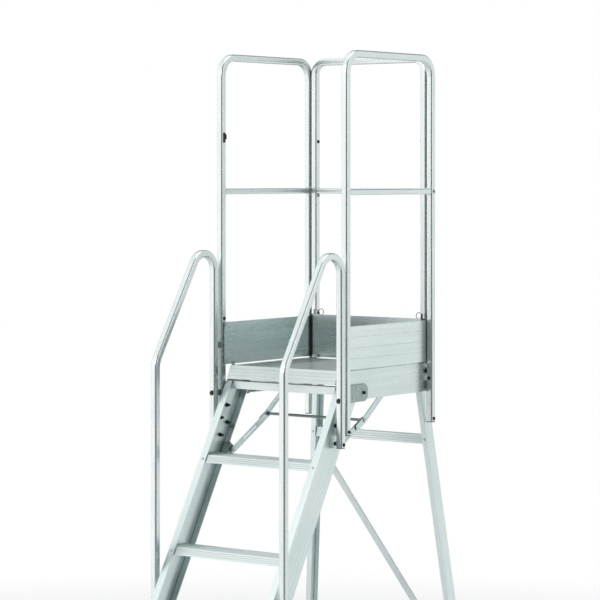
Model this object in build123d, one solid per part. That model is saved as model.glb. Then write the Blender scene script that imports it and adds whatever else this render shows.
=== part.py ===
from build123d import *
from math import cos, radians, sin, tan
import os

# Platform step ladder.  Millimetres, +Z up, ladder climbed along +Y.
# Shapes are drawn in the deck frame: x across, y back from the front guard
# posts, z up from the deck.  place() then moves each one to the floor frame.

# --- driving dimensions -------------------------------------------------
DECK_HEIGHT = 1500.0            # floor to the top of the deck nosing
DECK_TOP = -5.5                 # the deck panel lies a little below the nosing
FOOTPRINT_SHIFT = 76.8          # front guard posts to the middle of the footprint
DECK_HALF = 221.0               # half width of the deck panel
DECK_LENGTH = 508.0
GUARD_HEIGHT = 1087.5           # deck to the middle of the top rail
GUARD_HALF = 270.0              # middle of the ladder to the side hoops
GUARD_LENGTH = 528.0            # front post to rear post
REAR_HOOP_HALF = 242.0
REAR_HOOP_Y = 530.0
MID_RAIL_HEIGHT = 612.0
TOE_BOARD_HEIGHT = 150.0

TUBE = 25.0                     # square tube of hoops and handrails
TUBE_CORNER = 6.0
TUBE_WALL = 2.0
MID_TUBE = 20.0
SIDE_BEND = 65.0
REAR_BEND = 42.0

STRINGER_SLOPE = 60.0           # degrees from the floor
STRINGER_FRONT_Y = 36.0         # where the front face line meets the deck level
STRINGER_DEPTH = 96.0
STRINGER_OUTER = 251.0
STRINGER_INNER = 224.0
SECTION_WALL = 3.0
TREAD_COUNT = 4
TREAD_RISE = 300.0
FIRST_TREAD_DROP = 305.0

LEG_OUTER = 242.0               # outer face of a rear leg at the reference level
LEG_FRONT_Y = 509.0             # front face of a rear leg at the reference level
LEG_REFERENCE_Z = -138.0
LEG_WIDTH = 20.0
LEG_DEPTH = 48.0
LEG_WALL = 2.5
LEG_SPLAY = 0.1016              # sideways per unit down
LEG_LEAN = 0.088                # backwards per unit down

RAIL_OUTER = 250.7
RAIL_INNER = 222.0
RAIL_TOP = -4.0
RAIL_BOTTOM = -105.5
RAIL_END_Y = 545.0

FRONT_PIVOT = (127.0, -82.0)    # (y, z) of the front frame hinge
REAR_PIVOT = (524.0, -32.0)     # (y, z) of the rear frame hinge
STAY_FOOT = (-12.0, -297.0)     # lower end of the folding stay
STAY_KNEE = (190.0, -185.0)
STAY_HEAD = (360.0, -60.0)      # upper end of the folding stay

FLOOR_Z = -DECK_HEIGHT
SOLE = 10.0                     # rubber under each leg

RUNNING_GAP = 0.05              # radial gap of a turning pin
SLIDE_GAP = 0.3                 # gap between parts that pass each other

os.makedirs("parts", exist_ok=True)


# --- small helpers ------------------------------------------------------
def place(shape):
    """Move a shape from the deck frame to the floor frame."""
    return Pos(0, FOOTPRINT_SHIFT, DECK_HEIGHT) * shape


def save(name, *solids):
    """Write one node; several solids are written as a group."""
    placed = [place(solid) for solid in solids]
    node = placed[0] if len(placed) == 1 else Compound(children=placed)
    export_step(node, f"parts/{name}.step")


def block(x_span, y_span, z_span):
    """Box between two limits on each axis."""
    size = [span[1] - span[0] for span in (x_span, y_span, z_span)]
    low_corner = (x_span[0], y_span[0], z_span[0])
    return Pos(*low_corner) * Box(*size, align=(Align.MIN, Align.MIN, Align.MIN))


def side_plate(points, x_from, x_to):
    """Outline drawn in side view (y, z), given thickness across the ladder."""
    outline = make_face(Polyline(*[(x_from, y, z) for y, z in points], close=True))
    return extrude(outline, amount=x_to - x_from, dir=(1, 0, 0))


def rod_x(x_from, x_to, centre, radius):
    """Round bar across the ladder about a (y, z) centre."""
    face = Plane(origin=(x_from, centre[0], centre[1]), z_dir=(1, 0, 0)) * Circle(radius)
    return extrude(face, amount=x_to - x_from, dir=(1, 0, 0))


def rod_along(start, direction, length, radius):
    """Round bar from a start point in any direction."""
    face = Plane(origin=start, z_dir=direction) * Circle(radius)
    return extrude(face, amount=length)


def mirrored(shape):
    """The left-hand copy of a right-hand part."""
    return mirror(shape, about=Plane.YZ)


def both_sides(shape):
    return [shape, mirrored(shape)]


def fused(shapes):
    """Join touching shapes into one solid."""
    body = shapes[0]
    for shape in shapes[1:]:
        body = body + shape
    return body.clean()


def without(body, cutters):
    for cutter in cutters:
        body = body - cutter
    return body


def button_bolt(seat, direction, head_radius, head_height, shank_radius, shank_length):
    """Domed bolt: head stands on the seat along direction, shank goes the other way."""
    plane = Plane(origin=seat, z_dir=direction)
    head = extrude(plane * Circle(head_radius), amount=head_height)
    outer_rim = head.edges().group_by(Axis(seat, direction))[-1]
    head = fillet(outer_rim, radius=head_height * 0.45)
    socket_face = plane.offset(head_height) * RegularPolygon(head_radius * 0.5, 6)
    socket = extrude(socket_face, amount=-head_height * 0.6)
    shank = extrude(plane * Circle(shank_radius), amount=-shank_length)
    return head - socket + shank


def tube_section(size, corner, wall):
    outer = RectangleRounded(size, size, corner)
    inner = RectangleRounded(size - 2 * wall, size - 2 * wall, corner - wall)
    return outer - inner


def rounded_path(points, radii):
    """Polyline through the points with every inner corner rounded."""
    corners = [Vector(*point) for point in points]
    pieces = []
    start = corners[0]
    for before, corner, after, radius in zip(corners, corners[1:], corners[2:], radii):
        arrive = (corner - before).normalized()
        leave = (after - corner).normalized()
        setback = radius * tan(radians(arrive.get_angle(leave)) / 2)
        arc_start = corner - arrive * setback
        arc_end = corner + leave * setback
        pieces.append(Edge.make_line(start, arc_start))
        pieces.append(Edge.make_tangent_arc(arc_start, arrive, arc_end))
        start = arc_end
    pieces.append(Edge.make_line(start, corners[-1]))
    return Wire(pieces)


def bent_tube(points, radii, across, size=TUBE):
    """Square tube bent along a path; across is one side direction of the tube."""
    forward = Vector(*points[1]) - Vector(*points[0])
    start_plane = Plane(origin=points[0], x_dir=across, z_dir=forward)
    section = start_plane * tube_section(size, TUBE_CORNER * size / TUBE, TUBE_WALL)
    return sweep(section, path=rounded_path(points, radii))


def slope_y(z, inward=0.0):
    """y of the stringer front face at a height, or of a line set behind it."""
    angle = radians(STRINGER_SLOPE)
    return STRINGER_FRONT_Y + z / tan(angle) + inward / sin(angle)


def sloped_slab(near, far, z_top, z_bottom, x_from, x_to):
    """Slab parallel to the stringer between two depths behind its front face."""
    outline = [
        (slope_y(z_top, near), z_top),
        (slope_y(z_top, far), z_top),
        (slope_y(z_bottom, far), z_bottom),
        (slope_y(z_bottom, near), z_bottom),
    ]
    return side_plate(outline, x_from, x_to)


def ribbed_plate(y_from, y_to, z_top, half_width, thickness, pitch, rib_height):
    """Plate with fine ribs across its top, drawn as one comb outline."""
    root = z_top - rib_height
    outline = [(y_from, z_top - thickness), (y_from, root)]
    count = int((y_to - y_from) // pitch)
    first = y_from + (y_to - y_from - count * pitch) / 2 + pitch * 0.25
    for number in range(count):
        start = first + number * pitch
        end = start + pitch * 0.5
        outline += [(start, root), (start + 0.4, z_top), (end - 0.4, z_top), (end, root)]
    outline += [(y_to, root), (y_to, z_top - thickness)]
    return side_plate(outline, -half_width, half_width)


def leg_x(z):
    """Outer face of a rear leg at a height."""
    return LEG_OUTER + LEG_SPLAY * (LEG_REFERENCE_Z - z)


def leg_y(z):
    """Front face of a rear leg at a height."""
    return LEG_FRONT_Y + LEG_LEAN * (LEG_REFERENCE_Z - z)


def leg_prism(x_span, y_span, z_top, z_bottom):
    """Bar following a rear leg; spans are set in from its outer and front faces."""
    width = x_span[1] - x_span[0]
    depth = y_span[1] - y_span[0]
    x_low = leg_x(z_top) - x_span[1]
    y_low = leg_y(z_top) + y_span[0]
    section = Pos(x_low, y_low, z_top) * Rectangle(width, depth, align=(Align.MIN, Align.MIN))
    drop = z_top - z_bottom
    lower_section = Pos(LEG_SPLAY * drop, LEG_LEAN * drop, -drop) * section
    return loft([section, lower_section], ruled=True)


def link_bar(start, end, width, x_from, x_to):
    """Flat bar with round ends between two (y, z) centres."""
    along = (Vector(0, end[0], end[1]) - Vector(0, start[0], start[1]))
    plane = Plane(origin=(x_from, *start), x_dir=along, z_dir=(1, 0, 0))
    outline = plane * Pos(along.length / 2, 0) * SlotCenterToCenter(along.length, width)
    return extrude(outline, amount=x_to - x_from, dir=(1, 0, 0))


# --- deck ---------------------------------------------------------------
RIB_DEPTH = 33.0
deck_plate = ribbed_plate(2.5, DECK_LENGTH, DECK_TOP, DECK_HALF, 3.0, 10.0, 0.8)
deck_ribs = [
    block((-DECK_HALF, DECK_HALF), (y, y + 3.0), (-RIB_DEPTH, DECK_TOP - 2.9))
    for y in (24.0, 135.0, 245.0, 355.0, 466.0)
]
save("deck_panel", fused([deck_plate] + deck_ribs))

BEARER_HALF = RAIL_OUTER - SECTION_WALL - SLIDE_GAP
bearers = []
for bearer_y in (60.0, 225.0, 430.0):
    outer = block((-BEARER_HALF, BEARER_HALF), (bearer_y, bearer_y + 40.0), (-49.0, -RIB_DEPTH))
    hollow = block((-BEARER_HALF, BEARER_HALF), (bearer_y + 2, bearer_y + 38.0), (-47.0, -35.0))
    bearers.append(outer - hollow)
save("deck_bearers", *bearers)

rear_rail = block((-BEARER_HALF, BEARER_HALF), (484.0, 498.0), (-60.0, -9.0))
rear_rail -= block((-BEARER_HALF, BEARER_HALF), (486.5, 498.0), (-57.5, -11.5))
save("deck_rear_rail", rear_rail)

# Slanted front edge of the deck with three fine ribs, a foot lip and a back flange
# that the deck panel butts against.
NOSE_DROP = 46.0
NOSE_RUN = 23.0
NOSE_RIGHT_END = 245.0          # the nosing runs over the right rail's open front
nose_front = [(-10.0, 0.0)]
for rib_share in (0.2, 0.45, 0.7):
    for step, depth in ((0.0, 0.0), (0.012, 0.8), (0.05, 0.8), (0.062, 0.0)):
        share = rib_share + step
        nose_front.append((-10.0 - NOSE_RUN * share + depth, -NOSE_DROP * share))
nose_outline = nose_front + [
    (-10.0 - NOSE_RUN, -NOSE_DROP),
    (-16.0, -NOSE_DROP),
    (-16.0, -NOSE_DROP + 3.0),
    (-28.0, -NOSE_DROP + 3.0),
    (-8.0, -3.0),
    (-0.7, -3.0),
    (-0.7, DECK_TOP - 3.0),
    (2.3, DECK_TOP - 3.0),
    (2.3, 0.0),
]
save("deck_nosing", side_plate(nose_outline, -DECK_HALF, NOSE_RIGHT_END))

# Side rail: channel open to the middle.  It starts behind the nosing, is cut
# away over the stringer and is rounded about the front hinge.
RAIL_WEB_INNER = RAIL_OUTER - SECTION_WALL
CUTAWAY_Z = -52.0
NOSE_RADIUS = 23.5
RAIL_START_Y = 31.0
rail_outline = [
    (RAIL_START_Y, RAIL_TOP),
    (RAIL_START_Y, CUTAWAY_Z),
    (FRONT_PIVOT[0], CUTAWAY_Z),
    (FRONT_PIVOT[0], RAIL_BOTTOM),
    (RAIL_END_Y, RAIL_BOTTOM),
    (RAIL_END_Y, RAIL_TOP),
]
rail_web = side_plate(rail_outline, RAIL_WEB_INNER, RAIL_OUTER)
rail_nose = rod_x(RAIL_WEB_INNER, RAIL_OUTER, FRONT_PIVOT, NOSE_RADIUS)
rail_top = block((RAIL_INNER, RAIL_OUTER), (RAIL_START_Y, RAIL_END_Y), (RAIL_TOP - 2.0, RAIL_TOP))
rail_foot = block((RAIL_INNER, RAIL_OUTER), (FRONT_PIVOT[0] + 2, 480.0),
                  (RAIL_BOTTOM, RAIL_BOTTOM + 3.0))
rail_right = fused([rail_web, rail_nose, rail_top, rail_foot])
PIVOT_PIN = 6.0
REAR_PIN = 5.0
rail_right = without(rail_right, [
    rod_x(240.0, 260.0, FRONT_PIVOT, PIVOT_PIN),
    rod_x(240.0, 260.0, REAR_PIVOT, REAR_PIN),
])
save("deck_rail_right", rail_right)
save("deck_rail_left", mirrored(rail_right))

# --- toe boards: hollow planks with fine grooves ---------------------------
TOE_THICK = 7.5
TOE_OUTER = GUARD_HALF - TUBE / 2
TOE_INNER = TOE_OUTER - TOE_THICK


def hollow_plank(x_span, y_span, z_span, runs_along_y):
    """Thin hollow plank lying along x or y, grooved on both faces."""
    plank = block(x_span, y_span, z_span)
    cell_height = (z_span[1] - z_span[0] - 10.0) / 4
    skin = 1.6
    cutters = []
    for cell in range(4):
        z_low = z_span[0] + 2.0 + cell * (cell_height + 2.0)
        z_cell = (z_low, z_low + cell_height)
        if runs_along_y:
            cutters.append(block((x_span[0] + skin, x_span[1] - skin), y_span, z_cell))
        else:
            cutters.append(block(x_span, (y_span[0] + skin, y_span[1] - skin), z_cell))
    groove = 0.25
    for line in range(1, 4):
        z_mid = z_span[0] + line * (z_span[1] - z_span[0]) / 4
        z_groove = (z_mid - 0.5, z_mid + 0.5)
        if runs_along_y:
            cutters.append(block((x_span[0] - 1, x_span[0] + groove), y_span, z_groove))
            cutters.append(block((x_span[1] - groove, x_span[1] + 1), y_span, z_groove))
        else:
            cutters.append(block(x_span, (y_span[0] - 1, y_span[0] + groove), z_groove))
            cutters.append(block(x_span, (y_span[1] - groove, y_span[1] + 1), z_groove))
    return without(plank, cutters)


TOE_LENGTH_SPAN = (-8.0, 517.0)
toe_right = hollow_plank((TOE_INNER, TOE_OUTER), TOE_LENGTH_SPAN, (1.0, TOE_BOARD_HEIGHT), True)
save("toe_board_right", toe_right)
save("toe_board_left", mirrored(toe_right))
REAR_TOE_HALF = TOE_INNER - SLIDE_GAP
REAR_TOE_Y = REAR_HOOP_Y - TUBE / 2
toe_rear = hollow_plank((-REAR_TOE_HALF, REAR_TOE_HALF), (REAR_TOE_Y - TOE_THICK, REAR_TOE_Y),
                        (-1.5, TOE_BOARD_HEIGHT + 5.0), False)
save("toe_board_rear", toe_rear)

# --- guard hoops ----------------------------------------------------------
FRONT_POST_FOOT = -217.0
REAR_POST_FOOT = -212.0
hoop_points = [
    (GUARD_HALF, 0.0, FRONT_POST_FOOT),
    (GUARD_HALF, 0.0, GUARD_HEIGHT),
    (GUARD_HALF, GUARD_LENGTH, GUARD_HEIGHT),
    (GUARD_HALF, GUARD_LENGTH, REAR_POST_FOOT),
]
hoop_right = bent_tube(hoop_points, (SIDE_BEND, SIDE_BEND), (1, 0, 0))
rear_points = [
    (-REAR_HOOP_HALF, REAR_HOOP_Y, RAIL_TOP),
    (-REAR_HOOP_HALF, REAR_HOOP_Y, GUARD_HEIGHT),
    (REAR_HOOP_HALF, REAR_HOOP_Y, GUARD_HEIGHT),
    (REAR_HOOP_HALF, REAR_HOOP_Y, RAIL_TOP),
]
hoop_rear = bent_tube(rear_points, (REAR_BEND, REAR_BEND), (0, 1, 0))

# Bolts: (seat, outward direction) on a right-hand post; the shank enters the tube.
BOLT_HEAD = 6.0
BOLT_HEIGHT = 3.5
BOLT_SHANK = 3.0
POST_FACE_X = GUARD_HALF + TUBE / 2
guard_bolt_seats = [
    ((POST_FACE_X, 0.0, -207.0), (1, 0, 0)),
    ((POST_FACE_X, GUARD_LENGTH, -202.0), (1, 0, 0)),
    ((POST_FACE_X, GUARD_LENGTH, MID_RAIL_HEIGHT), (1, 0, 0)),
    ((GUARD_HALF, GUARD_LENGTH - TUBE / 2, -57.0), (0, -1, 0)),
    ((GUARD_HALF - TUBE / 2, 0.0, 163.0), (-1, 0, 0)),
]
rear_bolt_seats = [
    ((REAR_HOOP_HALF - TUBE / 2, REAR_HOOP_Y, MID_RAIL_HEIGHT - 17.0), (-1, 0, 0)),
    ((REAR_HOOP_HALF - TUBE / 2, REAR_HOOP_Y, 794.0), (-1, 0, 0)),
]


def bolt_at(seat, direction):
    return button_bolt(seat, direction, BOLT_HEAD, BOLT_HEIGHT, BOLT_SHANK, TUBE_WALL + 6.0)


def bolt_hole(seat, direction):
    return rod_along(seat, tuple(-part for part in direction), TUBE_WALL + 6.5, BOLT_SHANK)


HANDRAIL_X = 274.0
HANDRAIL_REAR_Y = -37.0
handrail_bolt_seat = ((HANDRAIL_X + TUBE / 2, HANDRAIL_REAR_Y, -247.0), (1, 0, 0))
all_bolt_seats = guard_bolt_seats + rear_bolt_seats + [handrail_bolt_seat]
right_bolts = [bolt_at(*seat) for seat in all_bolt_seats]
save("guard_bolts", *[copy for bolt in right_bolts for copy in both_sides(bolt)])
hoop_right = without(hoop_right, [bolt_hole(*seat) for seat in guard_bolt_seats])
save("guard_hoop_right", hoop_right)
save("guard_hoop_left", mirrored(hoop_right))
rear_holes = [bolt_hole(*seat) for seat in rear_bolt_seats]
PULL_PIN = (REAR_HOOP_Y, 160.0)
PULL_PIN_RADIUS = 3.0
PULL_PIN_LENGTH = 12.0
PULL_PIN_FACE = REAR_HOOP_HALF - TUBE / 2
rear_holes.append(rod_x(PULL_PIN_FACE - 1.0, PULL_PIN_FACE + TUBE_WALL + 1.0, PULL_PIN,
                        PULL_PIN_RADIUS + RUNNING_GAP))
hoop_rear = without(hoop_rear, [copy for hole in rear_holes for copy in both_sides(hole)])
save("guard_hoop_rear", hoop_rear)

# --- mid rails --------------------------------------------------------------
HALF_TUBE = TUBE / 2
mid_section = tube_section(MID_TUBE, 5.0, TUBE_WALL)
mid_side_start = Plane(origin=(GUARD_HALF, HALF_TUBE, MID_RAIL_HEIGHT), x_dir=(1, 0, 0),
                       z_dir=(0, 1, 0))
mid_right = extrude(mid_side_start * mid_section, amount=GUARD_LENGTH - TUBE)
save("mid_rail_right", mid_right)
save("mid_rail_left", mirrored(mid_right))
MID_REAR_HALF = REAR_HOOP_HALF - HALF_TUBE
mid_rear_start = Plane(origin=(-MID_REAR_HALF, REAR_HOOP_Y, MID_RAIL_HEIGHT),
                       x_dir=(0, 1, 0), z_dir=(1, 0, 0))
save("mid_rail_rear", extrude(mid_rear_start * mid_section, amount=2 * MID_REAR_HALF))

# --- handrails ----------------------------------------------------------------
HANDRAIL_FRONT_Y = -362.0
HANDRAIL_FOOT_Z = -838.0
HANDRAIL_REAR_FOOT_Z = -257.0
handrail_points = [
    (HANDRAIL_X, HANDRAIL_FRONT_Y, HANDRAIL_FOOT_Z),
    (HANDRAIL_X, HANDRAIL_FRONT_Y, 29.0),
    (HANDRAIL_X, HANDRAIL_REAR_Y, 549.0),
    (HANDRAIL_X, HANDRAIL_REAR_Y, HANDRAIL_REAR_FOOT_Z),
]
handrail_right = bent_tube(handrail_points, (80.0, 62.0), (1, 0, 0))
KNOB_Z = -98.0
knob_seat = (HANDRAIL_X, HANDRAIL_REAR_Y - HALF_TUBE, KNOB_Z)
knob_hole = rod_along(knob_seat, (0, 1, 0), TUBE + 1.0, BOLT_SHANK + RUNNING_GAP)
handrail_right = without(handrail_right, [bolt_hole(*handrail_bolt_seat), knob_hole])
save("handrail_right", handrail_right)
save("handrail_left", mirrored(handrail_right))

# Block between the rear handrail leg and the front guard post, and the hand
# screw that clamps the handrail against it.
gap_front_y = HANDRAIL_REAR_Y + HALF_TUBE
spacer = block((GUARD_HALF - 9.0, GUARD_HALF + 9.0), (gap_front_y, -HALF_TUBE),
               (KNOB_Z - 9.0, KNOB_Z + 9.0))
screw_bore = rod_along((HANDRAIL_X, gap_front_y - 1.0, KNOB_Z), (0, 1, 0), 10.0,
                       BOLT_SHANK + RUNNING_GAP)
upper_spacer = Pos(0, 0, 168.0) * spacer
spacer = spacer - screw_bore
handrail_blocks = [spacer, upper_spacer]


def hand_screw():
    """Wing knob with a stem that ends inside the spacer block."""
    knob_plane = Plane(origin=(HANDRAIL_X, knob_seat[1] - SLIDE_GAP, KNOB_Z), z_dir=(0, -1, 0))
    knob = extrude(knob_plane * Circle(4.6), amount=8.0)
    for side in (-1, 1):
        wing = Pos(HANDRAIL_X, knob_seat[1] - SLIDE_GAP, KNOB_Z + side * 5.0)
        wing = wing * Rot(90, 0, 0) * Cylinder(3.4, 6.0, align=(Align.CENTER, Align.CENTER, Align.MIN))
        knob = knob + wing
    stem = rod_along((HANDRAIL_X, knob_seat[1] - 1.0, KNOB_Z), (0, 1, 0), 32.0, BOLT_SHANK)
    return (knob + stem).clean()


knob_right = hand_screw()
save("handrail_knob_right", knob_right)
save("handrail_knob_left", mirrored(knob_right))

# --- blocks, plugs and small fittings on the guard -------------------------------
post_gap = (RAIL_OUTER, GUARD_HALF - HALF_TUBE)
rear_block = block(post_gap, (GUARD_LENGTH - 10.0, GUARD_LENGTH + 10.0), (-98.0, -70.0))
hoop_gap = (REAR_HOOP_HALF + HALF_TUBE, GUARD_HALF - HALF_TUBE)
corner_block = block(hoop_gap, (520.0, 538.0), (MID_RAIL_HEIGHT - 14.0, MID_RAIL_HEIGHT + 14.0))
spacer_blocks = [rear_block, corner_block] + handrail_blocks
save("guard_spacers", *[copy for item in spacer_blocks for copy in both_sides(item)])


def tube_plug(centre):
    """Cap on the lower end of a tube with a stub inside it."""
    x, y, z = centre
    inside = TUBE - 2 * TUBE_WALL - 0.4
    plate = extrude(Plane(origin=(x, y, z - 3.0)) * RectangleRounded(TUBE, TUBE, TUBE_CORNER),
                    amount=3.0)
    stub = extrude(Plane(origin=(x, y, z)) * RectangleRounded(inside, inside, 3.8), amount=3.5)
    return plate + stub


plug_centres = [
    (GUARD_HALF, 0.0, FRONT_POST_FOOT),
    (GUARD_HALF, GUARD_LENGTH, REAR_POST_FOOT),
    (HANDRAIL_X, HANDRAIL_FRONT_Y, HANDRAIL_FOOT_Z),
    (HANDRAIL_X, HANDRAIL_REAR_Y, HANDRAIL_REAR_FOOT_Z),
]
plugs = [tube_plug(centre) for centre in plug_centres]
save("tube_end_plugs", *[copy for plug in plugs for copy in both_sides(plug)])

# Lugs at the toe board corners and the pins that join the boards there.
front_lug = block((TOE_INNER - 2.5, TOE_INNER), (-7.0, 5.0),
                  (TOE_BOARD_HEIGHT - 14.0, TOE_BOARD_HEIGHT))
foot_lug = Pos(0, 0, 16.0 - TOE_BOARD_HEIGHT) * front_lug
rear_lug = block((214.0, 236.0), (499.0, REAR_TOE_Y - TOE_THICK), (RAIL_TOP + SLIDE_GAP, 7.0))
rail_lug = block((TOE_INNER - 3.0, TOE_INNER), (RAIL_START_Y + 3.0, RAIL_START_Y + 17.0),
                 (RAIL_TOP, 10.0))
lugs = [front_lug, foot_lug, rear_lug, rail_lug]
save("toe_board_lugs", *[copy for item in lugs for copy in both_sides(item)])

CORNER_PIN = 3.0
corner_pin_start = (TOE_INNER - CORNER_PIN - 1.0, REAR_TOE_Y - TOE_THICK - CORNER_PIN - 1.0,
                    RAIL_TOP + 0.5)
corner_pin = rod_along(corner_pin_start, (0, 0, 1), TOE_BOARD_HEIGHT + 27.0, CORNER_PIN)
save("toe_board_corner_pins", *both_sides(corner_pin))

# Pull pins with a wire ring, pushed into the rear hoop above the toe board.
RING_RADIUS = 11.0
RING_WIRE = 1.2
pull_shank = rod_x(PULL_PIN_FACE - 1.0, PULL_PIN_FACE + PULL_PIN_LENGTH, PULL_PIN, PULL_PIN_RADIUS)
pull_head = rod_x(PULL_PIN_FACE - 3.3, PULL_PIN_FACE - SLIDE_GAP, PULL_PIN, 5.0)
ring_centre = Pos(PULL_PIN_FACE - RING_RADIUS - RING_WIRE - 0.8, PULL_PIN[0], PULL_PIN[1] + 4.0)
pull_ring = ring_centre * Rot(90, 0, 0) * Torus(RING_RADIUS, RING_WIRE)
pull_pin_right = fused([pull_shank, pull_head, pull_ring])
save("toe_pin_right", pull_pin_right)
save("toe_pin_left", mirrored(pull_pin_right))

# Chain hook on the inner face of the left front post.
HOOK_Z = 803.0
hook_seat_x = -(GUARD_HALF - HALF_TUBE)
hook_plate = block((hook_seat_x, hook_seat_x + 2.5), (-5.0, 5.0), (HOOK_Z - 17.0, HOOK_Z + 17.0))
HOOK_REACH = 8.0
hook_path = rounded_path([
    (hook_seat_x + 2.0, 0.0, HOOK_Z + 11.0),
    (hook_seat_x + HOOK_REACH, 0.0, HOOK_Z + 11.0),
    (hook_seat_x + HOOK_REACH, 0.0, HOOK_Z - 6.0),
], (4.0,))
hook_start = Plane(origin=(hook_seat_x + 2.0, 0.0, HOOK_Z + 11.0), z_dir=(1, 0, 0))
save("chain_hook", hook_plate + sweep(hook_start * Circle(2.4), path=hook_path))

# --- front frame: stringers, crossbar and treads ------------------------------------
STRINGER_TOP = -57.0
STRINGER_FOOT = FLOOR_Z + SOLE
FLANGE_INSIDE = STRINGER_OUTER - SECTION_WALL
web = sloped_slab(0.0, STRINGER_DEPTH, STRINGER_TOP, STRINGER_FOOT, FLANGE_INSIDE, STRINGER_OUTER)
front_flange = sloped_slab(0.0, SECTION_WALL, STRINGER_TOP, STRINGER_FOOT,
                           STRINGER_INNER, STRINGER_OUTER)
rear_flange = sloped_slab(STRINGER_DEPTH - SECTION_WALL, STRINGER_DEPTH, STRINGER_TOP,
                          STRINGER_FOOT, STRINGER_INNER, STRINGER_OUTER)
WEB_SCREWS = [(1.0, -143.0), (-36.0, -184.0), (4.0, -204.0), (-37.0, -245.0)]
WEB_SCREW = 4.0
HINGE_RIVETS = [(87.0, -67.0), (63.0, -96.0)]
RIVET_SHANK = 2.5
tread_tops = [-FIRST_TREAD_DROP - number * TREAD_RISE for number in range(TREAD_COUNT)]
NOSE_HEIGHT = 26.0
SLOPE_NORMAL = (0.0, -sin(radians(STRINGER_SLOPE)), cos(radians(STRINGER_SLOPE)))


def tread_rivet_seat(tread_top):
    """Point on the front flange where a tread is riveted."""
    z = tread_top - NOSE_HEIGHT / 2
    return (237.0, slope_y(z), z)


rivet_seats = [tread_rivet_seat(top) for top in tread_tops]
rivet_bores = [
    rod_along(seat, tuple(-part for part in SLOPE_NORMAL), 9.0, RIVET_SHANK)
    for seat in rivet_seats
]
stringer_right = without(fused([web, front_flange, rear_flange]), [
    *[rod_x(240.0, 260.0, hole, WEB_SCREW) for hole in WEB_SCREWS],
    *[rod_x(240.0, 260.0, hole, RIVET_SHANK) for hole in HINGE_RIVETS],
    *rivet_bores,
])
save("stringer_right", stringer_right)
save("stringer_left", mirrored(stringer_right))


def web_screw(centre):
    """Screw through the stringer web, its nut and end standing inside the channel."""
    screw = button_bolt((STRINGER_OUTER, *centre), (1, 0, 0), 7.0, 3.0, WEB_SCREW, 18.0)
    nut_plane = Plane(origin=(FLANGE_INSIDE - 6.5, *centre), z_dir=(1, 0, 0))
    return (screw + extrude(nut_plane * RegularPolygon(7.0, 6), amount=6.5)).clean()


web_screws = [web_screw(centre) for centre in WEB_SCREWS]
save("stringer_screws", *[copy for item in web_screws for copy in both_sides(item)])

TREAD_HALF = FLANGE_INSIDE - 0.2
NOSE_INSET = SECTION_WALL + 0.2
TREAD_BACK = STRINGER_DEPTH - SECTION_WALL - 0.3


def tread(z_top):
    """Step: ribbed top, slanted ribbed nose, stiffening walls below."""
    y_nose = slope_y(z_top, NOSE_INSET)
    z_low = z_top - NOSE_HEIGHT
    y_back = slope_y(z_low, TREAD_BACK)
    top = ribbed_plate(y_nose, y_back, z_top, TREAD_HALF, 3.2, 8.0, 0.9)
    nose = sloped_slab(NOSE_INSET, NOSE_INSET + 3.0, z_top - 1.0, z_low, -TREAD_HALF, TREAD_HALF)
    nose_lip = sloped_slab(NOSE_INSET, NOSE_INSET + 12.0, z_low + 2.5, z_low,
                           -TREAD_HALF, TREAD_HALF)
    middle = (y_nose + y_back) / 2
    walls = [
        block((-TREAD_HALF, TREAD_HALF), (y_back - 2.5, y_back), (z_low, z_top - 2.0)),
        block((-TREAD_HALF, TREAD_HALF), (y_back - 12.0, y_back), (z_low, z_low + 2.5)),
        block((-TREAD_HALF, TREAD_HALF), (middle - 1.2, middle + 1.2), (z_top - 16.0, z_top - 2.0)),
    ]
    body = fused([top, nose, nose_lip] + walls)
    grooves = [
        sloped_slab(NOSE_INSET - 1.0, NOSE_INSET + 0.7, z_top - drop, z_top - drop - 1.6,
                    -TREAD_HALF, TREAD_HALF)
        for drop in (6.0, 12.0, 18.0)
    ]
    return without(body, grooves)


for number, (tread_top, bore) in enumerate(zip(tread_tops, rivet_bores), start=1):
    save(f"tread_{number}", without(tread(tread_top), both_sides(bore)))

CROSSBAR_TOP = STRINGER_TOP
CROSSBAR_HEIGHT = 27.0
CROSSBAR_DEPTH = 34.0
CROSSBAR_WALL = 2.5
crossbar_y = slope_y(CROSSBAR_TOP, SECTION_WALL) + 0.5
crossbar = block((-TREAD_HALF, TREAD_HALF), (crossbar_y, crossbar_y + CROSSBAR_DEPTH),
                 (CROSSBAR_TOP - CROSSBAR_HEIGHT, CROSSBAR_TOP))
crossbar -= block((-TREAD_HALF, TREAD_HALF),
                  (crossbar_y + CROSSBAR_WALL, crossbar_y + CROSSBAR_DEPTH - CROSSBAR_WALL),
                  (CROSSBAR_TOP - CROSSBAR_HEIGHT + CROSSBAR_WALL, CROSSBAR_TOP - CROSSBAR_WALL))
save("top_crossbar", crossbar)


def rivet(seat, direction, head_radius, shank_length):
    """Round-headed rivet."""
    head = rod_along(seat, direction, 1.8, head_radius)
    rim = head.edges().group_by(Axis(seat, direction))[-1]
    head = fillet(rim, radius=1.5)
    back = tuple(-part for part in direction)
    return head + rod_along(seat, back, shank_length, RIVET_SHANK)


tread_rivets = [rivet(seat, SLOPE_NORMAL, 5.0, 9.0) for seat in rivet_seats]
save("tread_rivets", *[copy for item in tread_rivets for copy in both_sides(item)])


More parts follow.
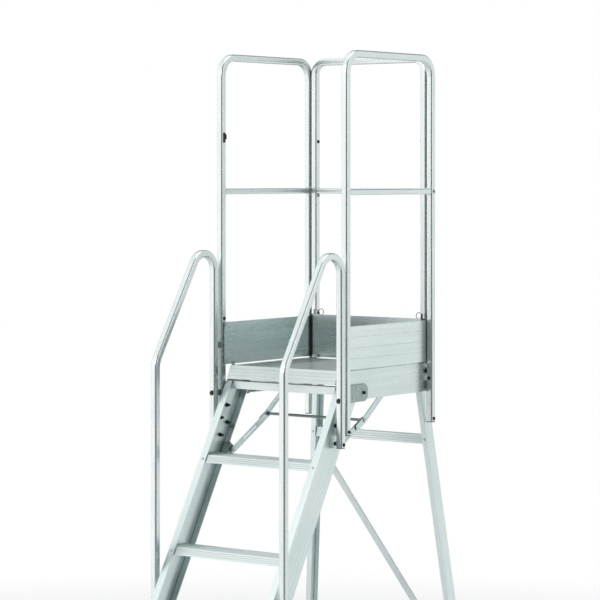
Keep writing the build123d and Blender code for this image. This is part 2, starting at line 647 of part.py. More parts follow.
def front_foot():
    """Rubber shoe: sole under the stringer with a plug inside the channel."""
    sole = sloped_slab(-3.0, STRINGER_DEPTH + 3.0, STRINGER_FOOT, FLOOR_Z,
                       STRINGER_INNER - 3.0, STRINGER_OUTER + 3.0)
    plug = sloped_slab(SECTION_WALL, STRINGER_DEPTH - SECTION_WALL, STRINGER_FOOT + 35.0,
                       STRINGER_FOOT, STRINGER_INNER - 3.0, FLANGE_INSIDE)
    skirt = sloped_slab(-3.0, 0.0, STRINGER_FOOT + 22.0, STRINGER_FOOT,
                        STRINGER_INNER - 3.0, STRINGER_OUTER + 3.0)
    grooves = [
        block((STRINGER_INNER - 5.0, STRINGER_OUTER + 5.0), (y, y + 3.0), (FLOOR_Z, FLOOR_Z + 2.0))
        for y in (slope_y(FLOOR_Z) + 12.0 * step for step in range(1, 9))
    ]
    return without(fused([sole, plug, skirt]), grooves)


save("front_feet", *both_sides(front_foot()))

# Hinge plate riveted to the stringer; its rear end turns on the rail.
PLATE_TOP = -52.0
PLATE_BOTTOM = -112.0
PLATE_BACK = 153.0
plate_outline = [
    (slope_y(PLATE_TOP) + 8.0, PLATE_TOP),
    (PLATE_BACK, PLATE_TOP),
    (PLATE_BACK, PLATE_BOTTOM),
    (slope_y(PLATE_BOTTOM) + 8.0, PLATE_BOTTOM),
]
PLATE_OUTER = STRINGER_OUTER + 4.5
hinge_plate = side_plate(plate_outline, STRINGER_OUTER, PLATE_OUTER)
rear_corners = hinge_plate.edges().filter_by(Axis.X).group_by(Axis.Y)[-1]
hinge_plate = fillet(rear_corners, radius=22.0)
hinge_plate = without(hinge_plate, [
    rod_x(240.0, 260.0, FRONT_PIVOT, PIVOT_PIN + RUNNING_GAP),
    *[rod_x(240.0, 260.0, hole, RIVET_SHANK) for hole in HINGE_RIVETS],
])
outer_rim = hinge_plate.faces().sort_by(Axis.X)[-1].outer_wire().edges()
hinge_plate = fillet(outer_rim, radius=1.2)
save("hinge_plate_right", hinge_plate)
save("hinge_plate_left", mirrored(hinge_plate))
hinge_rivets = [
    rivet((PLATE_OUTER, y, z), (1, 0, 0), 4.5, 9.0) for y, z in HINGE_RIVETS
]
save("hinge_rivets", *[copy for item in hinge_rivets for copy in both_sides(item)])

WASHER = 1.2
washer_seat = PLATE_OUTER + SLIDE_GAP
front_pin = button_bolt((washer_seat + WASHER, *FRONT_PIVOT), (1, 0, 0), 6.6, 4.2,
                        PIVOT_PIN, washer_seat + WASHER - RAIL_WEB_INNER + 8.0)
front_washer = rod_x(washer_seat, washer_seat + WASHER, FRONT_PIVOT, 11.0)
front_washer -= rod_x(200.0, 270.0, FRONT_PIVOT, PIVOT_PIN)
front_nut = rod_x(RAIL_WEB_INNER - 7.0, RAIL_WEB_INNER, FRONT_PIVOT, 10.0)
front_nut -= rod_x(230.0, 260.0, FRONT_PIVOT, PIVOT_PIN)
save("front_pivot_bolts", *both_sides(front_pin), *both_sides(front_nut))

# --- folding stays --------------------------------------------------------------
STAY_PIN = 4.0
LOWER_LINK_X = (204.5, 208.5)
UPPER_LINK_X = (211.0, 214.5)
BRACKET_X = (215.5, 218.5)
LINK_WIDTH = 22.5
BRACKET_TOP = -271.0
BRACKET_FOOT = -316.0

bracket_flange = sloped_slab(STRINGER_DEPTH - 2 * SECTION_WALL - 0.2, STRINGER_DEPTH - 3.2,
                             BRACKET_TOP, BRACKET_FOOT, BRACKET_X[0], 244.0)
bracket_plate = side_plate([
    (slope_y(BRACKET_TOP, STRINGER_DEPTH - 6.2), BRACKET_TOP),
    (STAY_FOOT[0] + 10.0, STAY_FOOT[1] + 14.0),
    (STAY_FOOT[0] + 16.0, STAY_FOOT[1]),
    (STAY_FOOT[0] + 10.0, STAY_FOOT[1] - 14.0),
    (slope_y(BRACKET_FOOT, STRINGER_DEPTH - 6.2), BRACKET_FOOT),
], *BRACKET_X)
bracket = fused([bracket_flange, bracket_plate]) - rod_x(210.0, 225.0, STAY_FOOT, STAY_PIN)
save("stay_brackets", *both_sides(bracket))

foot_pin = fused([
    rod_x(LOWER_LINK_X[0] - 2.5, LOWER_LINK_X[0] - SLIDE_GAP, STAY_FOOT, 7.0),
    rod_x(LOWER_LINK_X[0] - 1.0, BRACKET_X[1] + 2.0, STAY_FOOT, STAY_PIN),
    rod_x(LOWER_LINK_X[1] + SLIDE_GAP, BRACKET_X[0], STAY_FOOT, 7.0),
    rod_x(BRACKET_X[1], BRACKET_X[1] + 2.4, STAY_FOOT, 7.0),
])
save("stay_foot_pins", *both_sides(foot_pin))
head_pin = fused([
    rod_x(UPPER_LINK_X[0] - 2.1, UPPER_LINK_X[0] - SLIDE_GAP, STAY_HEAD, 7.0),
    rod_x(UPPER_LINK_X[0] - 1.0, RAIL_WEB_INNER, STAY_HEAD, STAY_PIN),
    rod_x(UPPER_LINK_X[1] + SLIDE_GAP, RAIL_WEB_INNER, STAY_HEAD, 7.0),
    rod_x(RAIL_WEB_INNER - 3.0, RAIL_WEB_INNER, STAY_HEAD, 11.0),
])
save("stay_head_pins", *both_sides(head_pin))


def along_stay(start, end, distance):
    """Point on the line from start towards end."""
    run = Vector(0, end[0] - start[0], end[1] - start[1]).normalized() * distance
    return (start[0] + run.Y, start[1] + run.Z)


lower_link = link_bar(STAY_FOOT, STAY_KNEE, LINK_WIDTH, *LOWER_LINK_X)
slot = link_bar(along_stay(STAY_FOOT, STAY_KNEE, 70.0), along_stay(STAY_FOOT, STAY_KNEE, 150.0),
                6.0, LOWER_LINK_X[0] - 1, LOWER_LINK_X[1] + 1)
lower_link = without(lower_link, [
    slot,
    rod_x(200.0, 212.0, STAY_FOOT, STAY_PIN + RUNNING_GAP),
    rod_x(200.0, 212.0, STAY_KNEE, STAY_PIN),
])
save("stay_lower_link_right", lower_link)
save("stay_lower_link_left", mirrored(lower_link))

UPPER_TAIL = 42.0               # length of the upper link beyond the knee
tail_end = along_stay(STAY_KNEE, STAY_FOOT, UPPER_TAIL)
upper_link = link_bar(STAY_KNEE, STAY_HEAD, LINK_WIDTH, *UPPER_LINK_X)
upper_link = fused([upper_link, link_bar(STAY_KNEE, tail_end, LINK_WIDTH, *UPPER_LINK_X)])
rib = link_bar(along_stay(STAY_KNEE, STAY_HEAD, 22.0), along_stay(STAY_HEAD, STAY_KNEE, 22.0),
               7.0, UPPER_LINK_X[0] - 1, UPPER_LINK_X[0] + 1.2)
upper_link = without(upper_link, [
    rib,
    rod_x(205.0, 216.0, STAY_HEAD, STAY_PIN + RUNNING_GAP),
    rod_x(205.0, 216.0, STAY_KNEE, STAY_PIN),
])
save("stay_upper_link_right", upper_link)
save("stay_upper_link_left", mirrored(upper_link))
knee_rivet = fused([
    rod_x(UPPER_LINK_X[0] - 1.6, UPPER_LINK_X[0], STAY_KNEE, 7.0),
    rod_x(UPPER_LINK_X[0] - 1.0, UPPER_LINK_X[1] + 1.0, STAY_KNEE, STAY_PIN),
    rod_x(UPPER_LINK_X[1], UPPER_LINK_X[1] + 2.8, STAY_KNEE, 7.0),
])
save("stay_knee_rivets", *both_sides(knee_rivet))

KNEE_ROD = 5.0
half_rod = fused([
    rod_x(0.0, LOWER_LINK_X[0], STAY_KNEE, KNEE_ROD),
    rod_x(LOWER_LINK_X[0] - 3.0, LOWER_LINK_X[0], STAY_KNEE, 8.0),
    rod_x(LOWER_LINK_X[0] - 1.0, LOWER_LINK_X[1] + 0.1, STAY_KNEE, STAY_PIN),
])
save("stay_cross_rod", (half_rod + mirrored(half_rod)).clean())

# --- rear frame -----------------------------------------------------------------------
LEG_TOP = REAR_PIVOT[1] + 23.0
LEG_FOOT = FLOOR_Z + SOLE
leg_channel = [
    leg_prism((0.0, LEG_WALL), (0.0, LEG_DEPTH), LEG_TOP, LEG_FOOT),
    leg_prism((0.0, LEG_WIDTH), (0.0, LEG_WALL), LEG_TOP, LEG_FOOT),
    leg_prism((0.0, LEG_WIDTH), (LEG_DEPTH - LEG_WALL, LEG_DEPTH), LEG_TOP, LEG_FOOT),
]
top_trim = block((190.0, 260.0), (480.0, 580.0), (REAR_PIVOT[1], LEG_TOP + 1.0))
top_trim -= rod_x(180.0, 270.0, REAR_PIVOT, 23.0)
leg_right = fused(leg_channel) - top_trim

REAR_RIVET_X = 9.0              # rivet distance from the leg's outer face
CROSSBARS = {"upper": (-262.0, -296.0), "lower": (-1200.0, -1234.0)}
BRACE_ENDS = (-342.0, -1168.0)  # left end height, right end height


def leg_front_seat(z):
    return (leg_x(z) - REAR_RIVET_X, leg_y(z), z)


crossbar_seats = [leg_front_seat(sum(span) / 2) for span in CROSSBARS.values()]
leg_back = Vector(0, 1, LEG_LEAN).normalized()
leg_forward = tuple(-part for part in leg_back)
crossbar_bores = [rod_along(seat, tuple(leg_back), 8.5, RIVET_SHANK) for seat in crossbar_seats]


def brace_seat(z):
    return (leg_x(z) - REAR_RIVET_X, leg_y(z) + LEG_DEPTH, z)


left_seat = brace_seat(BRACE_ENDS[0])
right_seat = brace_seat(BRACE_ENDS[1])
BRACE_THICK = 4.0
BRACE_WIDTH = 25.0
brace_bore_right = rod_along(right_seat, leg_forward, 8.0, RIVET_SHANK)
brace_bore_left = rod_along(left_seat, leg_forward, 8.0, RIVET_SHANK)
leg_pin_hole = rod_x(200.0, 245.0, REAR_PIVOT, REAR_PIN + RUNNING_GAP)
leg_right = without(leg_right, crossbar_bores + [leg_pin_hole])
save("rear_leg_right", leg_right - brace_bore_right)
save("rear_leg_left", mirrored(leg_right - brace_bore_left))

for name, (z_top, z_bottom) in CROSSBARS.items():
    half = leg_x(z_top) - LEG_WALL - 0.4
    y_front = leg_y(z_bottom) + LEG_WALL + 0.1
    bar = block((-half, half), (y_front, y_front + 22.0), (z_bottom, z_top))
    bar -= block((-half, half), (y_front + 2.5, y_front + 22.0), (z_bottom + 2.5, z_top - 2.5))
    for line in (0.25, 0.5, 0.75):
        z_line = z_bottom + line * (z_top - z_bottom)
        bar -= block((-half, half), (y_front - 1, y_front + 0.8), (z_line - 0.9, z_line + 0.9))
    bores = [copy for bore in crossbar_bores for copy in both_sides(bore)]
    save(f"rear_crossbar_{name}", without(bar, bores))

crossbar_rivets = [rivet(seat, leg_forward, 4.5, 8.0) for seat in crossbar_seats]

# Diagonal flat brace on the back of the legs, from the left leg down to the right.
brace_start = Vector(-left_seat[0], left_seat[1], left_seat[2])
brace_end = Vector(*right_seat)
brace_run = brace_end - brace_start
brace_plane = Plane(origin=brace_start, x_dir=brace_run, z_dir=leg_back)
brace_outline = brace_plane * Pos(brace_run.length / 2, 0) * SlotCenterToCenter(
    brace_run.length, BRACE_WIDTH)
brace = extrude(brace_outline, amount=BRACE_THICK)
groove_outline = brace_plane.offset(BRACE_THICK - 1.2) * Pos(brace_run.length / 2, 0) * Rectangle(
    brace_run.length - 60.0, 8.0)
brace -= extrude(groove_outline, amount=2.0)
brace_rivet_starts = [
    brace_start + leg_back * BRACE_THICK,
    brace_end + leg_back * BRACE_THICK,
]
brace_rivets = []
for start in brace_rivet_starts:
    brace -= rod_along(tuple(start), leg_forward, 12.0, RIVET_SHANK)
    brace_rivets.append(rivet(tuple(start), tuple(leg_back), 4.5, BRACE_THICK + 6.0))
save("rear_brace", brace)
save("rear_rivets", *[copy for item in crossbar_rivets for copy in both_sides(item)],
     *brace_rivets)


def rear_foot():
    """Rubber shoe on a rear leg: sole, plug in the channel and a front skirt."""
    sole = leg_prism((-3.0, LEG_WIDTH + 3.0), (-3.0, LEG_DEPTH + 3.0), LEG_FOOT, FLOOR_Z)
    plug = leg_prism((LEG_WALL, LEG_WIDTH + 3.0), (LEG_WALL, LEG_DEPTH - LEG_WALL),
                     LEG_FOOT + 35.0, LEG_FOOT)
    skirt = leg_prism((-3.0, LEG_WIDTH + 3.0), (LEG_DEPTH, LEG_DEPTH + 3.0),
                      LEG_FOOT + 22.0, LEG_FOOT)
    x_low = leg_x(FLOOR_Z) - LEG_WIDTH - 5.0
    grooves = [
        block((x_low, x_low + LEG_WIDTH + 12.0), (y, y + 3.0), (FLOOR_Z, FLOOR_Z + 2.0))
        for y in (leg_y(FLOOR_Z) + 10.0 * step for step in range(1, 5))
    ]
    return without(fused([sole, plug, skirt]), grooves)


save("rear_feet", *both_sides(rear_foot()))

rear_pin = button_bolt((RAIL_OUTER + WASHER, *REAR_PIVOT), (1, 0, 0), 8.0, 3.6, REAR_PIN, 32.0)
rear_washer = rod_x(RAIL_OUTER, RAIL_OUTER + WASHER, REAR_PIVOT, 13.0)
rear_washer -= rod_x(200.0, 260.0, REAR_PIVOT, REAR_PIN)
rear_nut = rod_x(221.0, 227.0, REAR_PIVOT, 9.0) - rod_x(200.0, 260.0, REAR_PIVOT, REAR_PIN)
rear_sleeve = rod_x(232.8, RAIL_WEB_INNER, REAR_PIVOT, 9.0)
rear_sleeve -= rod_x(200.0, 260.0, REAR_PIVOT, REAR_PIN)
save("rear_pivot_bolts", *both_sides(rear_pin), *both_sides(rear_nut))
save("pivot_sleeves", *both_sides(rear_sleeve), *both_sides(rear_washer),
     *both_sides(front_washer))

# --- saddles on the stringers that carry the handrail feet -----------------------------
tube_back_y = HANDRAIL_FRONT_Y + HALF_TUBE
SADDLE_TOP = -800.0
saddle_side = block((STRINGER_OUTER, GUARD_HALF - HALF_TUBE + 3.5),
                    (HANDRAIL_FRONT_Y - 8.0, tube_back_y + 6.0), (-848.0, SADDLE_TOP))
saddle_back = block((STRINGER_OUTER, HANDRAIL_X + 8.0), (tube_back_y + 0.5, tube_back_y + 6.0),
                    (-848.0, SADDLE_TOP))
saddle_foot = block((STRINGER_OUTER, HANDRAIL_X + 8.0), (HANDRAIL_FRONT_Y - 8.0, tube_back_y + 6.0),
                    (-848.0, HANDRAIL_FOOT_Z - 3.5))
save("handrail_saddles", *both_sides(fused([saddle_side, saddle_back, saddle_foot])))
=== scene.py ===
import math

import bpy
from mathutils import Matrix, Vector

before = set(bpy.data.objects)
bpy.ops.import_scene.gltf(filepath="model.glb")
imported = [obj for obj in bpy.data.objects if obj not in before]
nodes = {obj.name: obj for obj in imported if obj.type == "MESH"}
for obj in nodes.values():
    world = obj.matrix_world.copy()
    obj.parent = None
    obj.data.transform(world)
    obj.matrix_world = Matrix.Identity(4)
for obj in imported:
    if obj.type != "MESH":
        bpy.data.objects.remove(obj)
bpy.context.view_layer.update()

# Lengths and places are in metres, noise scales are per metre, colours are linear.

# --- shader helper --------------------------------------------------------


class Shader:
    """A material, with short ways to add and join its nodes."""

    def __init__(self, name):
        self.material = bpy.data.materials.new(name)
        self.material.use_nodes = True
        self.tree = self.material.node_tree
        self.surface = self.tree.nodes["Principled BSDF"]

    def add(self, kind, **settings):
        node = self.tree.nodes.new("ShaderNode" + kind)
        for key, value in settings.items():
            setattr(node, key, value)
        return node

    def link(self, source, target):
        self.tree.links.new(source, target)

    def feed(self, socket, value):
        """Join a socket to another, or set it to a plain value."""
        if hasattr(value, "is_output"):
            self.link(value, socket)
        else:
            socket.default_value = value

    def math(self, operation, first, second=0.0, clamp=False):
        node = self.add("Math", operation=operation, use_clamp=clamp)
        self.feed(node.inputs[0], first)
        self.feed(node.inputs[1], second)
        return node.outputs[0]

    def spread(self, value, low, high, to_low, to_high):
        """Stretch a value from one range to another, held at both ends."""
        node = self.add("MapRange", clamp=True)
        self.feed(node.inputs["Value"], value)
        for key, number in zip(("From Min", "From Max", "To Min", "To Max"),
                               (low, high, to_low, to_high)):
            node.inputs[key].default_value = number
        return node.outputs["Result"]

    def mix(self, share, first, second, blend="MIX"):
        node = self.add("Mix", data_type="RGBA", blend_type=blend)
        self.feed(node.inputs["Factor"], share)
        self.feed(node.inputs[6], first)
        self.feed(node.inputs[7], second)
        return node.outputs[2]

    def noise(self, vector, scale, detail=3.0, rough=0.5):
        node = self.add("TexNoise")
        self.link(vector, node.inputs["Vector"])
        node.inputs["Scale"].default_value = scale
        node.inputs["Detail"].default_value = detail
        node.inputs["Roughness"].default_value = rough
        return node.outputs["Fac"]

    def place(self):
        """Position on the part, in metres."""
        return self.add("TexCoord").outputs["Object"]

    def along(self, direction, stretch):
        """Position with one direction drawn out, for grain that runs that way."""
        turn = Vector((0, 0, 1)).rotation_difference(Vector(direction)).to_euler()
        node = self.add("Mapping", vector_type="TEXTURE")
        node.inputs["Rotation"].default_value = turn
        node.inputs["Scale"].default_value = (1.0, 1.0, stretch)
        self.link(self.place(), node.inputs["Vector"])
        return node.outputs["Vector"]

    def edges(self, radius):
        """Softened normal, and a mask that is 1 on sharp outer edges."""
        bevel = self.add("Bevel", samples=4)
        bevel.inputs["Radius"].default_value = radius
        compare = self.add("VectorMath", operation="DOT_PRODUCT")
        self.link(bevel.outputs["Normal"], compare.inputs[0])
        self.link(self.add("NewGeometry").outputs["Normal"], compare.inputs[1])
        mask = self.spread(compare.outputs["Value"], 0.80, 0.995, 1.0, 0.0)
        return bevel.outputs["Normal"], mask

    def crevices(self, reach):
        """Mask that is 1 deep in corners and gaps."""
        node = self.add("AmbientOcclusion", samples=8)
        node.inputs["Distance"].default_value = reach
        return self.spread(node.outputs["AO"], 0.25, 0.9, 1.0, 0.0)

    def relief(self, height, distance, strength, normal=None):
        node = self.add("Bump")
        node.inputs["Strength"].default_value = strength
        node.inputs["Distance"].default_value = distance
        self.link(height, node.inputs["Height"])
        if normal is not None:
            self.link(normal, node.inputs["Normal"])
        return node.outputs["Normal"]


def colour(level, tint=(1.0, 1.0, 1.0)):
    return (level * tint[0], level * tint[1], level * tint[2], 1.0)


# --- finishes ---------------------------------------------------------------
COOL = (0.90, 1.0, 0.99)        # faint green-blue of bare aluminium
PALE = (0.925, 1.0, 0.985)      # the drawn tubes are whiter
ZINC = (0.84, 1.0, 0.98)        # green-blue of zinc plating
WORN_EDGE_AND_HIGHLIGHT = 0.93                   # brightness of a worn aluminium edge, partly a painted edge highlight
PAINTED_SHADE_LEVEL = 0.05                    # brightness of the painted shade in a gap
WAVE_PITCH = 2.0 * math.pi / 20.0    # pitch of a band texture at scale 1


def aluminium(name, grain, bright=0.80, rough=0.30, bands=0.5, lines=None, reach=0.006,
              gap_shade=0.75, tint=COOL):
    """Bare extruded aluminium: drawn streaks, die lines, smudges, rubbed edges partly painted as a
    highlight.

    grain is the direction of the streaks and bands their depth, lines an optional
    (axis, pitch, depth) of die lines, reach and grime the size and depth of the
    painted shade in gaps.
    """
    shader = Shader(name)
    surface = shader.surface
    fine = shader.noise(shader.along(grain, 90.0), 620.0, 2.0, 0.6)
    broad = shader.noise(shader.along(grain, 40.0), 75.0, 2.0, 0.5)
    cloud = shader.noise(shader.place(), 7.0, 4.0, 0.55)
    speck = shader.noise(shader.place(), 420.0, 3.0, 0.65)

    tone = shader.mix(shader.spread(broad, 0.35, 0.65, 0.0, 1.0),
                      colour(bright * (1.0 - 0.13 * bands), tint), colour(bright, tint))
    tone = shader.mix(shader.spread(fine, 0.3, 0.7, 0.0, 0.35), tone,
                      colour(bright * 0.82, tint))
    tone = shader.mix(shader.spread(cloud, 0.42, 0.72, 0.0, 0.30), tone,
                      colour(bright * 0.84, ZINC))
    tone = shader.mix(shader.spread(speck, 0.70, 0.82, 0.0, 0.22), tone, colour(bright * 0.70))

    soft_normal, edge_mask = shader.edges(0.0009)
    # Worn edges and painted highlight: the colour is lightened along sharp edges.
    tone = shader.mix(shader.math("MULTIPLY", edge_mask, 0.55), tone, colour(WORN_EDGE_AND_HIGHLIGHT))
    # Painted shade: the colour is darkened towards near-black in gaps and corners, where shadow
    # falls.
    painted_shade = shader.math("MULTIPLY", shader.crevices(reach), gap_shade)
    tone = shader.mix(painted_shade, tone, colour(PAINTED_SHADE_LEVEL, ZINC))

    height = shader.math("ADD", shader.math("MULTIPLY", fine, 0.9),
                         shader.math("MULTIPLY", speck, 0.1))
    if lines:
        direction, pitch, depth = lines
        wave = shader.add("TexWave", wave_type="BANDS", bands_direction=direction,
                          wave_profile="SIN")
        wave.inputs["Scale"].default_value = WAVE_PITCH / pitch
        wave.inputs["Distortion"].default_value = 0.0
        shader.link(shader.place(), wave.inputs["Vector"])
        line_mask = shader.spread(wave.outputs["Fac"], 0.0, 0.12, 1.0, 0.0)
        tone = shader.mix(shader.math("MULTIPLY", line_mask, depth), tone,
                          colour(bright * 0.55, tint))
        height = shader.math("SUBTRACT", height, shader.math("MULTIPLY", line_mask, 1.5))
    shader.link(tone, surface.inputs["Base Color"])

    gloss = shader.spread(shader.math("ADD", shader.math("MULTIPLY", cloud, 0.6),
                                      shader.math("MULTIPLY", fine, 0.4)),
                          0.3, 0.7, rough - 0.05, rough + 0.09)
    gloss = shader.math("SUBTRACT", gloss, shader.math("MULTIPLY", edge_mask, 0.08))
    shader.link(gloss, surface.inputs["Roughness"])
    shader.link(shader.relief(height, 0.00008, 0.25, soft_normal), surface.inputs["Normal"])
    surface.inputs["Metallic"].default_value = 0.88
    surface.inputs["Anisotropic"].default_value = 0.35
    return shader.material


def zinc_steel(name, bright, rough):
    """Zinc-plated steel: faint crystal patches, scuffs, rubbed edges partly painted as a highlight,
    and painted shade in gaps.
    """
    shader = Shader(name)
    surface = shader.surface
    crystal = shader.add("TexVoronoi", feature="F1")
    crystal.inputs["Scale"].default_value = 260.0
    shader.link(shader.place(), crystal.inputs["Vector"])
    patch = shader.add("SeparateColor")
    shader.link(crystal.outputs["Color"], patch.inputs["Color"])
    cloud = shader.noise(shader.place(), 40.0, 5.0, 0.6)
    speck = shader.noise(shader.place(), 900.0, 2.0, 0.6)
    tone = shader.mix(shader.spread(patch.outputs["Red"], 0.0, 1.0, 0.0, 0.8),
                      colour(bright * 0.84, ZINC), colour(bright * 1.08, ZINC))
    tone = shader.mix(shader.spread(cloud, 0.45, 0.75, 0.0, 0.45), tone,
                      colour(bright * 0.68, ZINC))
    soft_normal, edge_mask = shader.edges(0.0006)
    # Worn edges and painted highlight: the colour is lightened along sharp edges.
    tone = shader.mix(shader.math("MULTIPLY", edge_mask, 0.5), tone, colour(0.88))
    # Painted shade: the colour is darkened towards near-black in gaps and corners.
    gap_shade = shader.math("MULTIPLY", shader.crevices(0.01), 0.6)
    tone = shader.mix(gap_shade, tone, colour(0.10))
    shader.link(tone, surface.inputs["Base Color"])
    gloss = shader.spread(patch.outputs["Green"], 0.0, 1.0, rough - 0.08, rough + 0.1)
    shader.link(gloss, surface.inputs["Roughness"])
    shader.link(shader.relief(speck, 0.0001, 0.4, soft_normal), surface.inputs["Normal"])
    surface.inputs["Metallic"].default_value = 0.9
    return shader.material


def black_part(name, level, rough, metallic, grain_scale, bright_band=None):
    """Black oxide or moulded black: fine texture, dust in corners, rubbed edges partly painted as a
    highlight.

    Between the two heights of bright_band the finish is bare plated metal instead.
    """
    shader = Shader(name)
    surface = shader.surface
    grain = shader.noise(shader.place(), grain_scale, 4.0, 0.6)
    cloud = shader.noise(shader.place(), 60.0, 3.0, 0.5)
    tone = shader.mix(shader.spread(cloud, 0.35, 0.7, 0.0, 1.0),
                      colour(level), colour(level * 1.9))
    soft_normal, edge_mask = shader.edges(0.0008)
    # Worn edges and painted highlight: the colour is lightened along sharp edges.
    tone = shader.mix(shader.math("MULTIPLY", edge_mask, 0.35), tone, colour(0.30))
    dust = shader.math("MULTIPLY", shader.crevices(0.008), 0.3)
    tone = shader.mix(dust, tone, colour(0.20))
    if bright_band:
        split = shader.add("SeparateXYZ")
        shader.link(shader.place(), split.inputs[0])
        height = split.outputs["Z"]
        inside = shader.math("MULTIPLY", shader.math("GREATER_THAN", height, bright_band[0]),
                             shader.math("LESS_THAN", height, bright_band[1]))
        tone = shader.mix(inside, tone, shader.mix(shader.spread(cloud, 0.35, 0.7, 0.0, 1.0),
                                                   colour(0.42, ZINC), colour(0.60, ZINC)))
    shader.link(tone, surface.inputs["Base Color"])
    shader.link(shader.spread(grain, 0.3, 0.7, rough - 0.08, rough + 0.1),
                surface.inputs["Roughness"])
    shader.link(shader.relief(grain, 0.0002, 0.4, soft_normal), surface.inputs["Normal"])
    surface.inputs["Metallic"].default_value = metallic
    return shader.material


# --- grain directions on the ladder ------------------------------------------
STEP_SLOPE = math.radians(60.0)
LEG_SPLAY = 0.1016              # sideways per unit down a rear leg
LEG_LEAN = 0.088                # backwards per unit down a rear leg
ACROSS = (1.0, 0.0, 0.0)
BACKWARD = (0.0, 1.0, 0.0)
UPWARD = (0.0, 0.0, 1.0)
UP_STEPS = (0.0, math.cos(STEP_SLOPE), math.sin(STEP_SLOPE))
RIGHT_LEG = (-LEG_SPLAY, -LEG_LEAN, 1.0)
LEFT_LEG = (LEG_SPLAY, -LEG_LEAN, 1.0)
DOWN_BRACE = (0.59, 0.07, -0.80)


def dress(material, *names):
    """Give CAD nodes a material."""
    for name in names:
        mesh = nodes[name].data
        mesh.materials.clear()
        mesh.materials.append(material)


def both(stem):
    return [stem + "_left", stem + "_right"]


TUBE_SKIN = {"bright": 0.95, "rough": 0.24, "bands": 0.25, "tint": PALE}
BOARD_LINES = ("Z", 0.0375, 0.05)    # die lines along the toe boards
MID_RAIL_ZONE = (2.02, 2.20)    # heights of the mid rails' plated bolts

dress(aluminium("tube_upright", UPWARD, **TUBE_SKIN),
      "guard_hoop_rear", *both("guard_hoop"), *both("handrail"))
dress(aluminium("tube_back", BACKWARD, **TUBE_SKIN), *both("mid_rail"))
dress(aluminium("tube_across", ACROSS, **TUBE_SKIN), "mid_rail_rear")
dress(aluminium("toe_board_side", BACKWARD, bright=0.97, rough=0.27, bands=0.5,
                lines=BOARD_LINES, gap_shade=0.35), *both("toe_board"))
# The rear toe board is given a darker skin than the side boards: painted shade on its face.
dress(aluminium("toe_board_across_shaded", ACROSS, bright=0.82, rough=0.27, bands=0.7,
                lines=BOARD_LINES, gap_shade=0.35), "toe_board_rear")
dress(aluminium("deck_skin", ACROSS, bright=0.62, rough=0.20, bands=0.8, reach=0.02,
                gap_shade=0.5), "deck_panel")
dress(aluminium("deck_edge", ACROSS, bright=0.80, rough=0.30, bands=0.6, gap_shade=0.25), "deck_nosing")
dress(aluminium("rail_skin", BACKWARD, bright=0.93, rough=0.25, bands=0.5, reach=0.008,
                gap_shade=0.9), *both("deck_rail"))
dress(aluminium("under_deck", ACROSS, bright=0.62, rough=0.42, bands=0.6, reach=0.03),
      "deck_bearers", "deck_rear_rail")
dress(aluminium("stringer_skin", UP_STEPS, bright=0.95, rough=0.29, bands=0.6), *both("stringer"))
dress(aluminium("tread_skin", ACROSS, bright=0.91, rough=0.30, bands=0.5, gap_shade=0.4),
      "tread_1", "tread_2", "tread_3", "tread_4", "top_crossbar")
dress(aluminium("leg_skin_left", LEFT_LEG, bright=0.95, rough=0.29, bands=0.5), "rear_leg_left")
dress(aluminium("leg_skin_right", RIGHT_LEG, bright=0.95, rough=0.29, bands=0.5), "rear_leg_right")
dress(aluminium("rear_bar_skin", ACROSS, bright=0.92, rough=0.28, bands=0.5, gap_shade=0.25),
      "rear_crossbar_upper", "rear_crossbar_lower")
dress(aluminium("brace_skin", DOWN_BRACE, bright=0.82, rough=0.30, bands=0.6), "rear_brace")
dress(zinc_steel("zinc_plate", 0.54, 0.40), *both("hinge_plate"), "handrail_saddles",
      "stay_brackets")
dress(zinc_steel("zinc_lug", 0.78, 0.32), "toe_board_lugs")
dress(zinc_steel("zinc_stay", 0.88, 0.28), *both("stay_lower_link"), *both("stay_upper_link"))
dress(zinc_steel("zinc_rod", 0.36, 0.38), "stay_cross_rod")
dress(zinc_steel("bright_zinc", 0.72, 0.26), "tread_rivets", "hinge_rivets", "stay_foot_pins",
      "stay_head_pins", "stay_knee_rivets", "rear_rivets", "pivot_sleeves")
dress(black_part("guard_bolt_finish", 0.018, 0.38, 0.6, 700.0, MID_RAIL_ZONE), "guard_bolts")
dress(black_part("black_oxide", 0.018, 0.38, 0.6, 700.0), "stringer_screws", "chain_hook",
      "toe_board_corner_pins", "front_pivot_bolts", "rear_pivot_bolts", *both("toe_pin"))
dress(black_part("black_knob", 0.020, 0.48, 0.0, 900.0), *both("handrail_knob"))
dress(black_part("grey_moulding", 0.12, 0.5, 0.0, 800.0), "tube_end_plugs")
dress(zinc_steel("spacer_metal", 0.66, 0.34), "guard_spacers")
dress(black_part("rubber_shoe", 0.022, 0.75, 0.0, 350.0), "front_feet", "rear_feet")

# --- floor, light and camera ---------------------------------------------------
FLOOR_RADIUS = 6.0
FLOOR_DROP = 0.0005             # the floor lies just under the shoes
FADE_START = 1.5                # distances over which the floor fades out
FADE_END = 5.0


